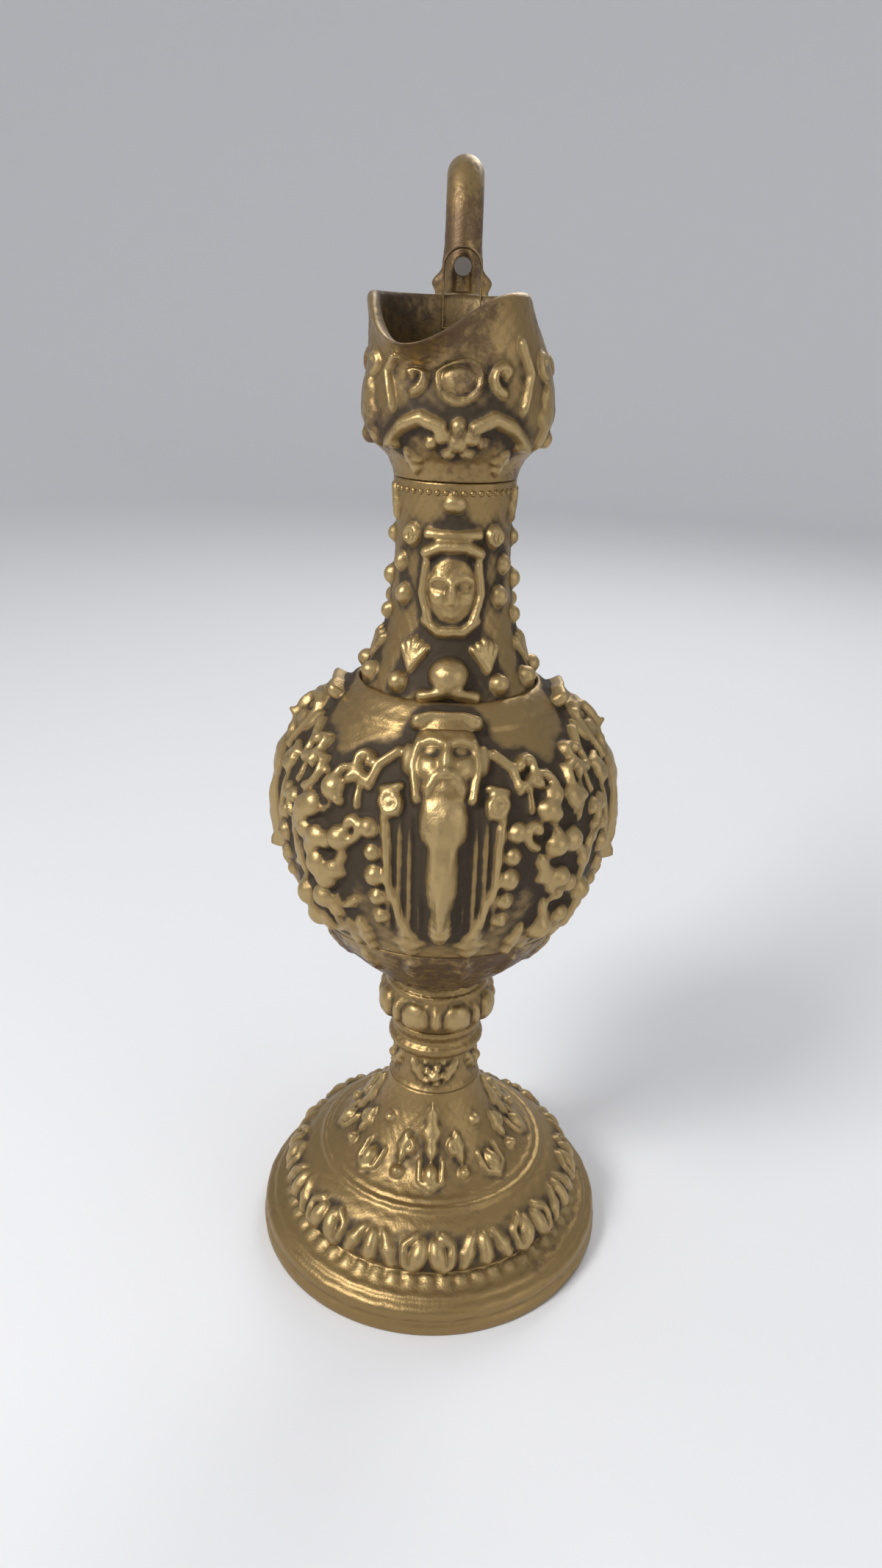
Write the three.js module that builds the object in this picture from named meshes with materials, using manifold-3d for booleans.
// Cast iron ewer: hollow cast sections stacked on a foot and drawn together by one rod,
// with a pouring mouth on top and an arched handle behind it. Millimetres, +Z up,
// origin at the middle of the foot's underside, front of the ewer towards -Y.
import * as THREE from "three";
import { mergeVertices } from "three/addons/utils/BufferGeometryUtils.js";
import Module from "manifold-3d";

const wasm = await Module();
wasm.setup();

// Fits between pieces
const seatGap = 0.3;
const boreGap = 0.4;

// Heights of the cast sections, from the foot upwards
const footHeight = 56;
const stemHeight = 21.7;
const knopHeight = 16.7;
const dishHeight = 24.7;
const bellyHeight = 54.7;
const shoulderHeight = 6.7;
const neckHeight = 60.7;
const mouthHeight = 44;

// Widths and walls of the cast sections
const footRadius = 56;
const footRimHeight = 9.3;
const footWall = 4;
const stemRadius = 12.6;
const knopRadius = 17.2;
const dishRadius = 39;
const dishWall = 4.5;
const bellyRadius = 47.6;
const bellyMouthRadius = 39;
const bellyWall = 5;
const shoulderPlate = 4.5;
const shoulderLedgeRadius = 34.5;
const fillerRadius = 12;
const neckRadius = 16.7;
const neckBaseRadius = 24.5;
const neckWall = 3.6;
const neckBaseBore = 15.5;
const mouthRadius = 24.4;
const mouthWall = 3;
const spigotDepth = 4;
const spigotWall = 2;

// Pouring lip
const lipAngle = THREE.MathUtils.degToRad(-115);
const lipReach = 9;
const lipDrop = 12;
const lipSpread = 0.5;

// Handle
const handleBar = 5;
const handleLeafWidth = 7.2;
const handleLeafThickness = 4;
const handleFootRadius = 4.2;
const handleFootY = 29.5;
const handleBackY = 51.4;
const handleRise = 30;
const leafScallop = 1.2;
const leafCount = 6;

// Tab at the back of the rim, with its pin
const tabThickness = 3;
const tabWidth = 10;
const tabRise = 11.5;
const pinRadius = 1.4;
const pinHeadRadius = 2.3;
const pinHeadThickness = 1.2;
const pinGrip = 6;

// Rod, nuts, washers and bridge
const rodRadius = 3;
const rodEnd = 2;
const nutRadius = 5.5;
const nutHeight = 5;
const washerRadius = 8;
const washerThickness = 1.4;
const footPlate = 13;
const bridgeLength = 29;
const bridgeWidth = 8;
const bridgeHeight = 5;

// Screws up through the shoulder
const screwRadius = 1.5;
const screwHeadRadius = 2.4;
const screwHeadHeight = 2.4;
const screwGrip = 6;
const neckScrewCircle = 20.5;
const handleScrewY = 28.6;
const neckScrewCount = 3;

// Levels worked out from the heights
const stemZ = footHeight + seatGap;
const knopZ = stemZ + stemHeight + seatGap;
const dishZ = knopZ + knopHeight + seatGap;
const bellyZ = dishZ + dishHeight + seatGap;
const shoulderZ = bellyZ + bellyHeight + seatGap;
const ledgeZ = shoulderZ + shoulderHeight;
const neckZ = ledgeZ + seatGap;
const mouthZ = neckZ + neckHeight + seatGap;
const rimZ = mouthZ + mouthHeight;
const plateUnderZ = ledgeZ - shoulderPlate;
const rodBore = rodRadius + boreGap;

const front = -Math.PI / 2;
const quarter = Math.PI / 2;
const root = new THREE.Group();

function iron(color, roughness = 0.5) {
  return new THREE.MeshStandardMaterial({ color, roughness, metalness: 0.85 });
}

const gilt = () => iron(0x7d6034, 0.48);
const darkGilt = () => iron(0x4a3821, 0.6);
const bareIron = () => iron(0x4b4946, 0.62);

function add(name, geometry, material) {
  const mesh = new THREE.Mesh(geometry, material);
  mesh.name = name;
  root.add(mesh);
  return mesh;
}

// A closed body from rows of points, turned so that its faces point outwards
function closedBody(positions, indices) {
  let volume = 0;
  const a = new THREE.Vector3();
  const b = new THREE.Vector3();
  const c = new THREE.Vector3();
  for (let i = 0; i < indices.length; i += 3) {
    a.fromArray(positions, indices[i] * 3);
    b.fromArray(positions, indices[i + 1] * 3);
    c.fromArray(positions, indices[i + 2] * 3);
    volume += a.dot(b.cross(c));
  }
  const faces = volume < 0 ? indices.slice().reverse() : indices;
  const geometry = new THREE.BufferGeometry();
  geometry.setAttribute("position", new THREE.Float32BufferAttribute(positions, 3));
  geometry.setIndex(faces);
  geometry.computeVertexNormals();
  return geometry;
}

// A ring-shaped casting: section(phi) gives its closed outline as [radius, z] pairs
function casting(section, sides) {
  const positions = [];
  const indices = [];
  const rows = section(0).length;
  for (let side = 0; side < sides; side += 1) {
    const phi = (side / sides) * Math.PI * 2;
    for (const [radius, z] of section(phi)) {
      positions.push(radius * Math.cos(phi), radius * Math.sin(phi), z);
    }
  }
  for (let side = 0; side < sides; side += 1) {
    const next = (side + 1) % sides;
    for (let row = 0; row < rows; row += 1) {
      const above = (row + 1) % rows;
      const a = side * rows + row;
      const b = next * rows + row;
      const c = next * rows + above;
      const d = side * rows + above;
      indices.push(a, b, c, a, c, d);
    }
  }
  return closedBody(positions, indices);
}

// A bar lofted through rings of points, with its two ends closed
function loftedBar(rings) {
  const positions = [];
  const indices = [];
  const sides = rings[0].length;
  for (const ring of rings) {
    for (const point of ring) positions.push(point.x, point.y, point.z);
  }
  for (let row = 0; row < rings.length - 1; row += 1) {
    for (let side = 0; side < sides; side += 1) {
      const next = (side + 1) % sides;
      const a = row * sides + side;
      const b = row * sides + next;
      indices.push(a, b, b + sides, a, b + sides, a + sides);
    }
  }
  const last = (rings.length - 1) * sides;
  for (let side = 1; side < sides - 1; side += 1) {
    indices.push(0, side + 1, side);
    indices.push(last, last + side, last + side + 1);
  }
  return closedBody(positions, indices);
}

function toSolid(geometry) {
  const plain = geometry.clone();
  plain.deleteAttribute("normal");
  plain.deleteAttribute("uv");
  const merged = mergeVertices(plain, 1e-4);
  const vertProperties = new Float32Array(merged.attributes.position.array);
  const triVerts = new Uint32Array(merged.index.array);
  return new wasm.Manifold(new wasm.Mesh({ numProp: 3, vertProperties, triVerts }));
}

function fromSolid(solid) {
  const mesh = solid.getMesh();
  const geometry = new THREE.BufferGeometry();
  geometry.setAttribute("position", new THREE.BufferAttribute(mesh.vertProperties, 3));
  geometry.setIndex(new THREE.BufferAttribute(mesh.triVerts, 1));
  geometry.computeVertexNormals();
  return geometry;
}

function cut(geometry, tools) {
  let solid = toSolid(geometry);
  for (const tool of tools) solid = solid.subtract(toSolid(tool));
  return fromSolid(solid);
}

function join(geometry, extra) {
  return fromSolid(toSolid(geometry).add(toSolid(extra)));
}

// An upright cylinder from one height to another
function upright(radius, bottom, top, x = 0, y = 0, sides = 12) {
  const geometry = new THREE.CylinderGeometry(radius, radius, top - bottom, sides);
  geometry.rotateX(quarter);
  geometry.translate(x, y, (bottom + top) / 2);
  return geometry;
}

// Relief: egg-shaped swellings on a casting's outside
function swelling(phi, z, radius, lump) {
  const turned = phi - lump.at;
  const across = Math.atan2(Math.sin(turned), Math.cos(turned)) * radius;
  const flat = (across / lump.wide) ** 2 + ((z - lump.z) / lump.high) ** 2;
  return lump.proud * Math.sqrt(Math.max(0, 1 - flat));
}

function relief(lumps, phi, radius, z) {
  let most = 0;
  for (const lump of lumps) most = Math.max(most, swelling(phi, z, radius, lump));
  return [radius + most, z];
}

function repeated(count, start, lump) {
  return Array.from({ length: count }, (_, i) => ({ ...lump, at: start + (i / count) * Math.PI * 2 }));
}

// Foot: rim, sloping band, lobed bulge and a dome that narrows to the stem
const footLumps = [
  ...repeated(8, front, { z: 20, wide: 11, high: 7, proud: 2.6 }),
  ...repeated(8, front + Math.PI / 8, { z: 33, wide: 8, high: 7, proud: 2.2 }),
  ...repeated(4, front, { z: 44, wide: 6, high: 8, proud: 2 }),
];

function footSection(phi) {
  const inner = footRadius - footWall;
  const plateZ = footHeight - footPlate;
  const outer = [
    [footRadius, 0], [footRadius, footRimHeight], [footRadius - 1.7, footRimHeight + 1],
    [footRadius - 3.6, footRimHeight + 2.7],
  ];
  const band = [
    [footRadius - 7.5, 15], [footRadius - 9.5, 19], [footRadius - 12.5, 23], [footRadius - 17, 27.5],
    [footRadius - 21.5, 31], [footRadius - 26, 34.5], [footRadius - 30.5, 38.5],
    [footRadius - 35, 43], [footRadius - 38.5, 47.5], [stemRadius + 2.8, 52],
  ];
  const top = [[stemRadius + 1.8, footHeight], [rodBore, footHeight], [rodBore, plateZ]];
  const under = [[12, plateZ], [17, plateZ - 8], [27, plateZ - 17], [inner - 12, 14], [inner, 5], [inner, 0]];
  return [...outer, ...band.map(([r, z]) => relief(footLumps, phi, r, z)), ...top, ...under];
}

// Stem with its ring collar and its small fruit cluster at the front
const stemLumps = repeated(4, front, { z: stemZ + 6, wide: 5, high: 6, proud: 1.6 });

function stemSection(phi) {
  const outer = [[1, 0], [0, 4], [0, 8], [0.2, 11], [2, 13], [2.2, 15.5], [0.6, 17.5], [0.8, stemHeight]];
  const side = outer.map(([more, up]) => relief(stemLumps, phi, stemRadius + more, stemZ + up));
  return [...side, [rodBore, stemZ + stemHeight], [rodBore, stemZ]];
}

// Knop with egg-shaped gadroons
const knopLumps = repeated(8, front, { z: knopZ + knopHeight / 2, wide: 6.4, high: 8, proud: 1.6 });

function knopSection(phi) {
  const outer = [[-3.4, 0], [-1.8, 0.2], [-1.2, 0.45], [-1.2, 0.65], [-2.4, 0.85], [-4, 1]];
  const side = outer.map(([more, share]) => {
    return relief(knopLumps, phi, knopRadius + more, knopZ + share * knopHeight);
  });
  return [...side, [rodBore, knopZ + knopHeight], [rodBore, knopZ]];
}

// Dish that closes the belly from below, with a spigot that enters the belly
const dishLumps = repeated(12, front, { z: dishZ + 15, wide: 8, high: 9, proud: 1.2 });

function dishSection(phi) {
  const spread = dishRadius - (knopRadius - 3);
  const start = dishRadius - spread;
  const bellyBore = bellyMouthRadius - bellyWall;
  const rise = [[0, 0], [0.12, 0.08], [0.26, 0.21], [0.42, 0.38], [0.6, 0.56], [0.78, 0.74], [0.94, 0.94]];
  const side = rise.map(([share, up]) => {
    return relief(dishLumps, phi, start + share * spread, dishZ + up * dishHeight);
  });
  const topZ = dishZ + dishHeight;
  const spigot = [
    [dishRadius, topZ], [bellyBore - seatGap, topZ], [bellyBore - seatGap, topZ + spigotDepth],
    [bellyBore - seatGap - spigotWall, topZ + spigotDepth],
  ];
  const inside = [
    [bellyBore - seatGap - spigotWall, topZ - dishWall], [dishRadius / 2, dishZ + dishHeight / 2],
    [washerRadius + 3, dishZ + dishWall], [rodBore, dishZ + dishWall], [rodBore, dishZ],
  ];
  return [...side, ...spigot, ...inside];
}

// Belly with four bearded masks and fruit swags between them
function mask(at) {
  return [
    { at, z: bellyZ + 34, wide: 9, high: 13, proud: 4.6 },
    { at, z: bellyZ + 49, wide: 7, high: 5, proud: 3.6 },
    { at, z: bellyZ + 15, wide: 6.5, high: 14, proud: 3.2 },
    { at: at - 0.3, z: bellyZ + 31, wide: 4.5, high: 5, proud: 3 },
    { at: at + 0.3, z: bellyZ + 31, wide: 4.5, high: 5, proud: 3 },
  ];
}

function swag(at) {
  return [
    { at, z: bellyZ + 42, wide: 10, high: 7, proud: 3.4 },
    { at, z: bellyZ + 26, wide: 8, high: 9, proud: 3.8 },
    { at, z: bellyZ + 9, wide: 6, high: 9, proud: 2.8 },
  ];
}

const bellyLumps = [0, 1, 2, 3].flatMap((step) => [
  ...mask(front + step * quarter),
  ...swag(front + (step + 0.5) * quarter),
]);

function bellySection(phi) {
  const low = dishRadius;
  const swell = bellyRadius - low;
  const rise = [
    [0, 0], [0.36, 0.09], [0.56, 0.17], [0.74, 0.26], [0.88, 0.35], [0.97, 0.45], [1, 0.55],
    [0.96, 0.65], [0.84, 0.75], [0.62, 0.84], [0.3, 0.93],
  ];
  const side = rise.map(([share, up]) => {
    return relief(bellyLumps, phi, low + share * swell, bellyZ + up * bellyHeight);
  });
  const topZ = bellyZ + bellyHeight;
  const bore = bellyMouthRadius - bellyWall;
  const inner = bellyRadius - bellyWall;
  const inside = [
    [bellyMouthRadius, topZ], [bore, topZ], [bore, topZ - spigotDepth - 1], [inner, topZ - bellyHeight * 0.3],
    [inner, bellyZ + bellyHeight * 0.35], [bore, bellyZ + spigotDepth + 1], [bore, bellyZ],
  ];
  return [...side, ...inside];
}

// Shoulder: flat ledge, filler hole and a spigot that enters the belly
function shoulderSection() {
  const spigot = bellyMouthRadius - bellyWall - seatGap;
  return [
    [bellyMouthRadius, shoulderZ], [bellyMouthRadius - 0.5, shoulderZ + 2.2],
    [shoulderLedgeRadius + 1.6, ledgeZ - 2], [shoulderLedgeRadius, ledgeZ], [fillerRadius, ledgeZ],
    [fillerRadius, plateUnderZ], [spigot - spigotWall, plateUnderZ],
    [spigot - spigotWall, shoulderZ - spigotDepth], [spigot, shoulderZ - spigotDepth],
    [spigot, shoulderZ],
  ];
}

// Neck: flared base with bosses, acanthus fans and a mask at the front
const neckLumps = [
  ...[-0.72, 0.72, -1.5, 1.5, -2.2, 2.2].map((turn) => {
    return { at: front + turn, z: neckZ + 6, wide: 4, high: 4, proud: 3.4 };
  }),
  { at: front, z: neckZ + 33, wide: 7.5, high: 12, proud: 4 },
  { at: front, z: neckZ + 14, wide: 5, high: 6, proud: 2.4 },
  { at: front + Math.PI / 3, z: neckZ + 30, wide: 6, high: 12, proud: 2 },
  { at: front - Math.PI / 3, z: neckZ + 30, wide: 6, high: 12, proud: 2 },
];

function neckSection(phi) {
  const flare = neckBaseRadius - neckRadius;
  const rise = [
    [1, 0], [1, 4], [0.9, 8], [0.66, 12.5], [0.38, 18], [0.16, 25], [0.02, 33], [0, 41], [0.08, 49],
    [0.12, 54], [0, neckHeight],
  ];
  const side = rise.map(([share, up]) => relief(neckLumps, phi, neckRadius + share * flare, neckZ + up));
  const bore = neckRadius - neckWall;
  const topZ = neckZ + neckHeight;
  const inside = [
    [bore, topZ], [bore, topZ - spigotDepth - 1], [bore - 0.8, neckZ + 35], [bore, neckZ + 18],
    [neckBaseBore, neckZ + 11], [neckBaseBore, neckZ],
  ];
  return [...side, ...inside];
}

// Mouth: a bowl with a fruit cluster, and a free rim drawn out and down into a pouring lip
const mouthLumps = [
  { at: front, z: mouthZ + 10, wide: 8, high: 5, proud: 3 },
  { at: front, z: mouthZ + 23, wide: 6.5, high: 6, proud: 2.2 },
  { at: front + 1, z: mouthZ + 13, wide: 8, high: 6, proud: 2 },
  { at: front - 1, z: mouthZ + 13, wide: 8, high: 6, proud: 2 },
];

function lipShare(phi) {
  const turned = Math.atan2(Math.sin(phi - lipAngle), Math.cos(phi - lipAngle));
  return Math.exp(-((turned / lipSpread) ** 2));
}

function mouthSection(phi) {
  const lip = lipShare(phi);
  const bowlZ = mouthZ + 26;
  const bowlRadius = mouthRadius - 1;
  const rimRadius = mouthRadius - 1.4 + lip * lipReach;
  const rimLevel = rimZ - lip * lipDrop;
  const wide = mouthRadius - neckRadius;
  const rise = [[0, 0], [0.17, 4.7], [0.68, 9.2], [0.97, 13.5], [1, 19.5]];
  const bowl = rise.map(([share, up]) => relief(mouthLumps, phi, neckRadius + share * wide, mouthZ + up));
  const flare = [0, 0.35, 0.7, 0.92].map((share) => [
    THREE.MathUtils.lerp(bowlRadius, rimRadius, share * share),
    THREE.MathUtils.lerp(bowlZ, rimLevel, share),
  ]);
  const bore = neckRadius - neckWall - seatGap;
  const rim = [
    [rimRadius + 0.8, rimLevel - 0.8], [rimRadius - 0.6, rimLevel],
    [rimRadius - mouthWall, rimLevel - 0.6], [bowlRadius - mouthWall, bowlZ + 4],
    [mouthRadius - mouthWall, mouthZ + 15], [mouthRadius - mouthWall - 5, mouthZ + 8],
    [bore - spigotWall, mouthZ], [bore - spigotWall, mouthZ - spigotDepth],
    [bore, mouthZ - spigotDepth], [bore, mouthZ],
  ];
  return [...bowl, ...flare, ...rim];
}

// The tab stands on the back of the rim, square to the pin
const tabFrontY = mouthRadius - 5.4;
const tabBackY = tabFrontY + tabThickness;
const pinZ = rimZ + tabRise / 2 + 1;

function tabGeometry() {
  const outline = new THREE.Shape();
  const half = tabWidth / 2;
  const springZ = rimZ + tabRise - half;
  outline.moveTo(-half, rimZ - 6);
  outline.lineTo(half, rimZ - 6);
  outline.lineTo(half, springZ);
  outline.absarc(0, springZ, half, 0, Math.PI, false);
  outline.closePath();
  const geometry = new THREE.ExtrudeGeometry(outline, {
    depth: tabThickness, bevelEnabled: false, curveSegments: 8,
  });
  geometry.rotateX(quarter);
  geometry.translate(0, tabBackY, 0);
  return geometry;
}

function alongY(radius, from, to) {
  const geometry = new THREE.CylinderGeometry(radius, radius, to - from, 12);
  geometry.translate(0, (from + to) / 2, pinZ);
  return geometry;
}

// Handle: a round limb from the rim, an arch, and a wider leafed limb down to the shoulder
const handleStartZ = rimZ + seatGap;
const handleFrontY = tabBackY + seatGap + handleBar + 0.2;

function handlePath() {
  const topZ = rimZ + handleRise;
  const points = [
    [handleFrontY, handleStartZ], [handleFrontY + 0.6, handleStartZ + 8],
    [handleFrontY + 3.5, topZ - 7], [handleFrontY + 10, topZ], [handleBackY - 5, topZ - 2],
    [handleBackY - 1, topZ - 12], [handleBackY, rimZ], [handleBackY, rimZ - 24],
    [handleBackY - 1.4, rimZ - 44], [handleBackY - 6, rimZ - 61], [handleBackY - 13, rimZ - 76],
    [handleFootY + 3, ledgeZ + 16], [handleFootY, ledgeZ + 7], [handleFootY, ledgeZ + seatGap],
  ];
  return new THREE.CatmullRomCurve3(points.map(([y, z]) => new THREE.Vector3(0, y, z)), false, "centripetal");
}

function handleGeometry() {
  const path = handlePath();
  const steps = 44;
  const sides = 10;
  const leafStart = 0.3;
  const leafEnd = 0.86;
  const rings = [];
  for (let step = 0; step <= steps; step += 1) {
    const share = step / steps;
    const centre = path.getPointAt(share);
    const tangent = path.getTangentAt(share);
    const square = share === 0 || share === 1;
    const inPlane = square ? new THREE.Vector3(0, 1, 0) : new THREE.Vector3(0, tangent.z, -tangent.y);
    const leaf = THREE.MathUtils.smoothstep(share, leafStart, leafStart + 0.12)
      * (1 - THREE.MathUtils.smoothstep(share, leafEnd - 0.12, leafEnd));
    const scallop = leafScallop * Math.abs(Math.sin(share * leafCount * Math.PI * 2));
    const end = THREE.MathUtils.smoothstep(share, leafEnd, 1);
    const bar = THREE.MathUtils.lerp(handleBar, handleFootRadius, end);
    const halfWidth = THREE.MathUtils.lerp(bar, handleLeafWidth - scallop, leaf);
    const halfThick = THREE.MathUtils.lerp(bar, handleLeafThickness, leaf);
    const turnSign = square && tangent.z < 0 ? -1 : 1;
    const ring = [];
    for (let side = 0; side < sides; side += 1) {
      const angle = (side / sides) * Math.PI * 2;
      const point = centre.clone();
      point.x += Math.cos(angle) * halfWidth;
      point.addScaledVector(inPlane, turnSign * Math.sin(angle) * halfThick);
      ring.push(point);
    }
    rings.push(ring);
  }
  return loftedBar(rings);
}

// Screws that go up through the shoulder's plate
const screwSpots = Array.from({ length: neckScrewCount }, (_, i) => {
  const at = front + (i / neckScrewCount) * Math.PI * 2;
  return { x: Math.cos(at) * neckScrewCircle, y: Math.sin(at) * neckScrewCircle };
});
const screwTopZ = ledgeZ + screwGrip;
const screwHeadTopZ = plateUnderZ - seatGap;

function screwHole(spot) {
  return upright(screwRadius + seatGap, plateUnderZ - 1, screwTopZ + seatGap, spot.x, spot.y);
}

function screwGeometry(spot) {
  const outline = [
    [0, screwHeadTopZ - screwHeadHeight], [screwHeadRadius, screwHeadTopZ - screwHeadHeight],
    [screwHeadRadius, screwHeadTopZ], [screwRadius, screwHeadTopZ], [screwRadius, screwTopZ],
    [0, screwTopZ],
  ];
  const geometry = new THREE.LatheGeometry(outline.map(([r, z]) => new THREE.Vector2(r, z)), 12);
  geometry.rotateX(quarter);
  geometry.translate(spot.x, spot.y, 0);
  return geometry;
}

function hexNut(bottom) {
  const outline = new THREE.Shape();
  for (let corner = 0; corner < 6; corner += 1) {
    const angle = (corner / 6) * Math.PI * 2;
    const x = Math.cos(angle) * nutRadius;
    const y = Math.sin(angle) * nutRadius;
    if (corner === 0) outline.moveTo(x, y);
    else outline.lineTo(x, y);
  }
  outline.closePath();
  outline.holes.push(new THREE.Path().absarc(0, 0, rodBore, 0, Math.PI * 2, true));
  const geometry = new THREE.ExtrudeGeometry(outline, {
    depth: nutHeight, bevelEnabled: false, curveSegments: 12,
  });
  geometry.translate(0, 0, bottom);
  return geometry;
}

function ringPlate(outer, bottom, height) {
  const section = [[outer, bottom], [outer, bottom + height], [rodBore, bottom + height], [rodBore, bottom]];
  return casting(() => section, 20);
}

function bridgeGeometry(bottom) {
  const outline = new THREE.Shape();
  const x = bridgeLength / 2;
  const y = bridgeWidth / 2;
  outline.moveTo(-x, -y);
  outline.lineTo(x, -y);
  outline.lineTo(x, y);
  outline.lineTo(-x, y);
  outline.closePath();
  outline.holes.push(new THREE.Path().absarc(0, 0, rodBore, 0, Math.PI * 2, true));
  const geometry = new THREE.ExtrudeGeometry(outline, {
    depth: bridgeHeight, bevelEnabled: false, curveSegments: 12,
  });
  geometry.translate(0, 0, bottom);
  return geometry;
}

// Cast sections
add("foot", casting(footSection, 40), gilt());
add("stem", casting(stemSection, 24), gilt());
add("knop", casting(knopSection, 32), gilt());
add("belly_dish", casting(dishSection, 36), darkGilt());
add("belly", casting(bellySection, 48), gilt());
const handleScrewSpot = { x: 0, y: handleScrewY };
const allSpots = [...screwSpots, handleScrewSpot];
add("shoulder", cut(casting(shoulderSection, 36), allSpots.map(screwHole)), gilt());
add("neck", cut(casting(neckSection, 32), screwSpots.map(screwHole)), gilt());

// Mouth with its tab, then the handle and the pin that ties them
const pinHole = alongY(pinRadius + seatGap, tabFrontY - 2, tabBackY + pinGrip + seatGap);
add("mouth", cut(join(casting(mouthSection, 48), tabGeometry()), [pinHole]), gilt());
add("handle", cut(handleGeometry(), [pinHole, screwHole(handleScrewSpot)]), gilt());
const pinHead = alongY(pinHeadRadius, tabFrontY - seatGap - pinHeadThickness, tabFrontY - seatGap);
const pinShank = alongY(pinRadius, tabFrontY - seatGap - 0.4, tabBackY + pinGrip);
add("handle_pin", join(pinHead, pinShank), bareIron());

// Fastenings inside
const footWasherZ = footHeight - footPlate - seatGap - washerThickness;
const footNutZ = footWasherZ - seatGap - nutHeight;
const bellyWasherZ = dishZ + dishWall + seatGap;
const bellyNutZ = bellyWasherZ + washerThickness + seatGap;
const bridgeZ = ledgeZ + seatGap;
const topNutZ = bridgeZ + bridgeHeight + seatGap;
add("tie_rod", upright(rodRadius, footNutZ - rodEnd, topNutZ + nutHeight + rodEnd), bareIron());
add("foot_washer", ringPlate(washerRadius, footWasherZ, washerThickness), bareIron());
add("foot_nut", hexNut(footNutZ), bareIron());
add("belly_washer", ringPlate(washerRadius, bellyWasherZ, washerThickness), bareIron());
add("belly_nut", hexNut(bellyNutZ), bareIron());
add("bridge", bridgeGeometry(bridgeZ), bareIron());
add("top_nut", hexNut(topNutZ), bareIron());
screwSpots.forEach((spot, i) => add(`neck_screw_${i + 1}`, screwGeometry(spot), bareIron()));
add("handle_screw", screwGeometry(handleScrewSpot), bareIron());

export default root;
